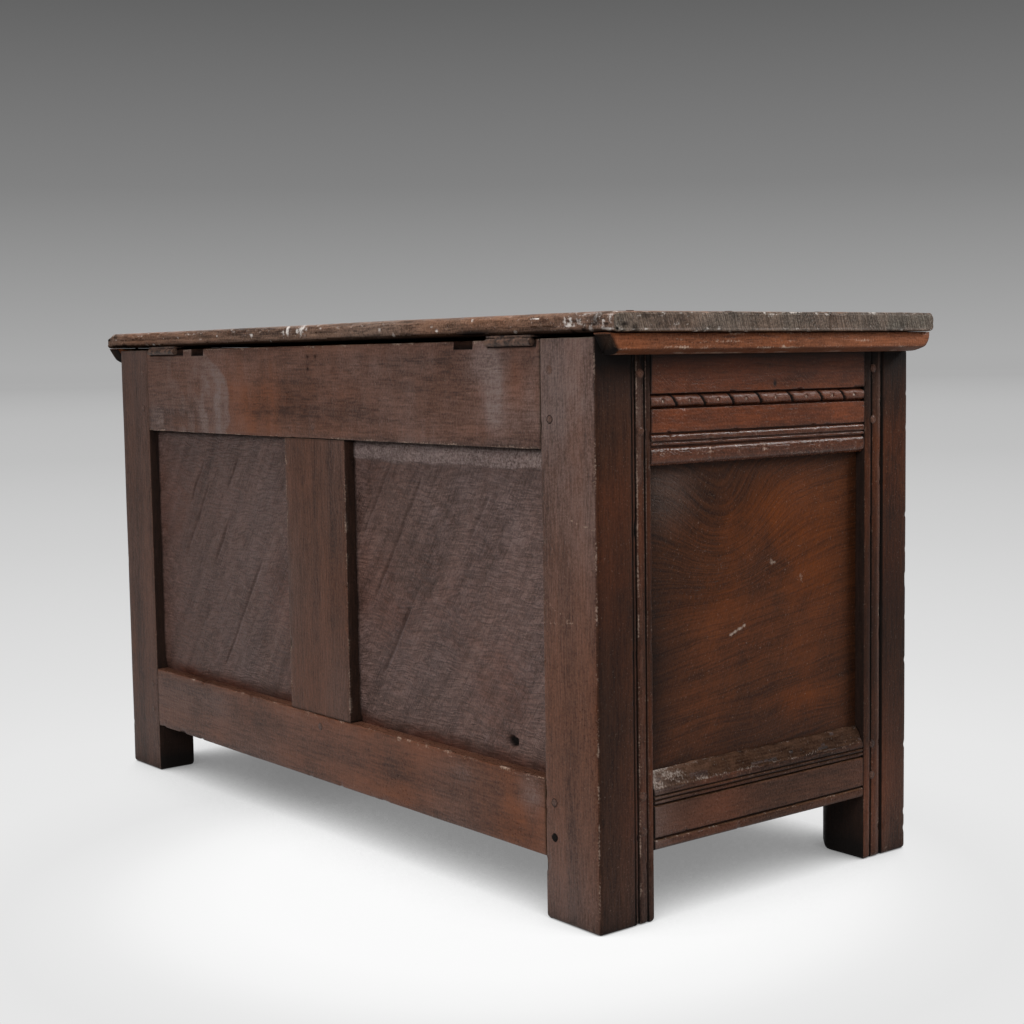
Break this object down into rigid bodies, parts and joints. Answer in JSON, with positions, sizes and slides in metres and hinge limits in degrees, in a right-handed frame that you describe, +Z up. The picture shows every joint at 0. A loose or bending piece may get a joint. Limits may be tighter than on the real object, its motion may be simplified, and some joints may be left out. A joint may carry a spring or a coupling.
{
  "type": "mule chest",
  "caption": "Joined oak mule chest: pegged frame-and-panel carcass on stile feet, hinged board lid over a deep compartment and a long side-hung drawer below.",
  "frame": {"origin": "middle of the box around the whole chest, on the floor", "axes": "+X along the chest to the right as seen from the front, +Y to the hinged back, +Z up"},
  "size_m": [1.1, 0.515, 0.6255],
  "materials": {
    "frame_oak": "dark waxed oak, worn",
    "lid_oak": "weathered waxed oak",
    "raw_oak": "unfinished aged oak",
    "forged_iron": "dark rusted iron"
  },
  "bodies": {
    "carcass": {"drawer_bearer_left": "raw_oak", "drawer_bearer_right": "raw_oak", "floor_board_1": "raw_oak", "floor_board_2": "raw_oak", "floor_board_3": "raw_oak", "floor_board_4": "raw_oak", "floor_ledger_back": "raw_oak", "floor_ledger_left": "raw_oak", "floor_ledger_right": "raw_oak", "floor_nails": "forged_iron", "hinge_left_frame_leaf": "forged_iron", "hinge_left_pin": "forged_iron", "hinge_right_frame_leaf": "forged_iron", "hinge_right_pin": "forged_iron", "hinge_screws_frame": "forged_iron", "muntin_back": "frame_oak", "muntin_front_1": "frame_oak", "muntin_front_2": "frame_oak", "panel_back_left": "frame_oak", "panel_back_right": "frame_oak", "panel_end_left": "frame_oak", "panel_end_right": "frame_oak", "panel_front_1": "frame_oak", "panel_front_2": "frame_oak", "panel_front_3": "frame_oak", "pegs_back": "frame_oak", "pegs_front": "frame_oak", "pegs_left": "frame_oak", "pegs_right": "frame_oak", "rail_back_bottom": "frame_oak", "rail_back_top": "frame_oak", "rail_end_left_bottom": "frame_oak", "rail_end_left_top": "frame_oak", "rail_end_right_bottom": "frame_oak", "rail_end_right_top": "frame_oak", "rail_front_bottom": "frame_oak", "rail_front_middle": "frame_oak", "rail_front_top": "frame_oak", "stile_back_left": "frame_oak", "stile_back_right": "frame_oak", "stile_front_left": "frame_oak", "stile_front_right": "frame_oak"},
    "lid": {"cleat_left": "lid_oak", "cleat_right": "lid_oak", "hinge_left_lid_leaf": "forged_iron", "hinge_right_lid_leaf": "forged_iron", "hinge_screws_lid": "forged_iron", "lid_board_back": "lid_oak", "lid_board_front": "lid_oak", "lid_nails": "forged_iron"},
    "drawer": {"drawer_back": "raw_oak", "drawer_bottom_left": "raw_oak", "drawer_bottom_right": "raw_oak", "drawer_front": "frame_oak", "drawer_knob_left": "frame_oak", "drawer_knob_right": "frame_oak", "drawer_side_left": "raw_oak", "drawer_side_right": "raw_oak"}
  },
  "joints": [
    {"name": "lid_hinge", "type": "hinge", "parent": "carcass", "child": "lid", "pos_m": [0, 0.253, 0.597], "axis": [-1, 0, 0], "range_deg": [0, 105]},
    {"name": "drawer_slide", "type": "slide", "parent": "carcass", "child": "drawer", "axis": [0, -1, 0], "range_m": [0, 0.3]}
  ]
}
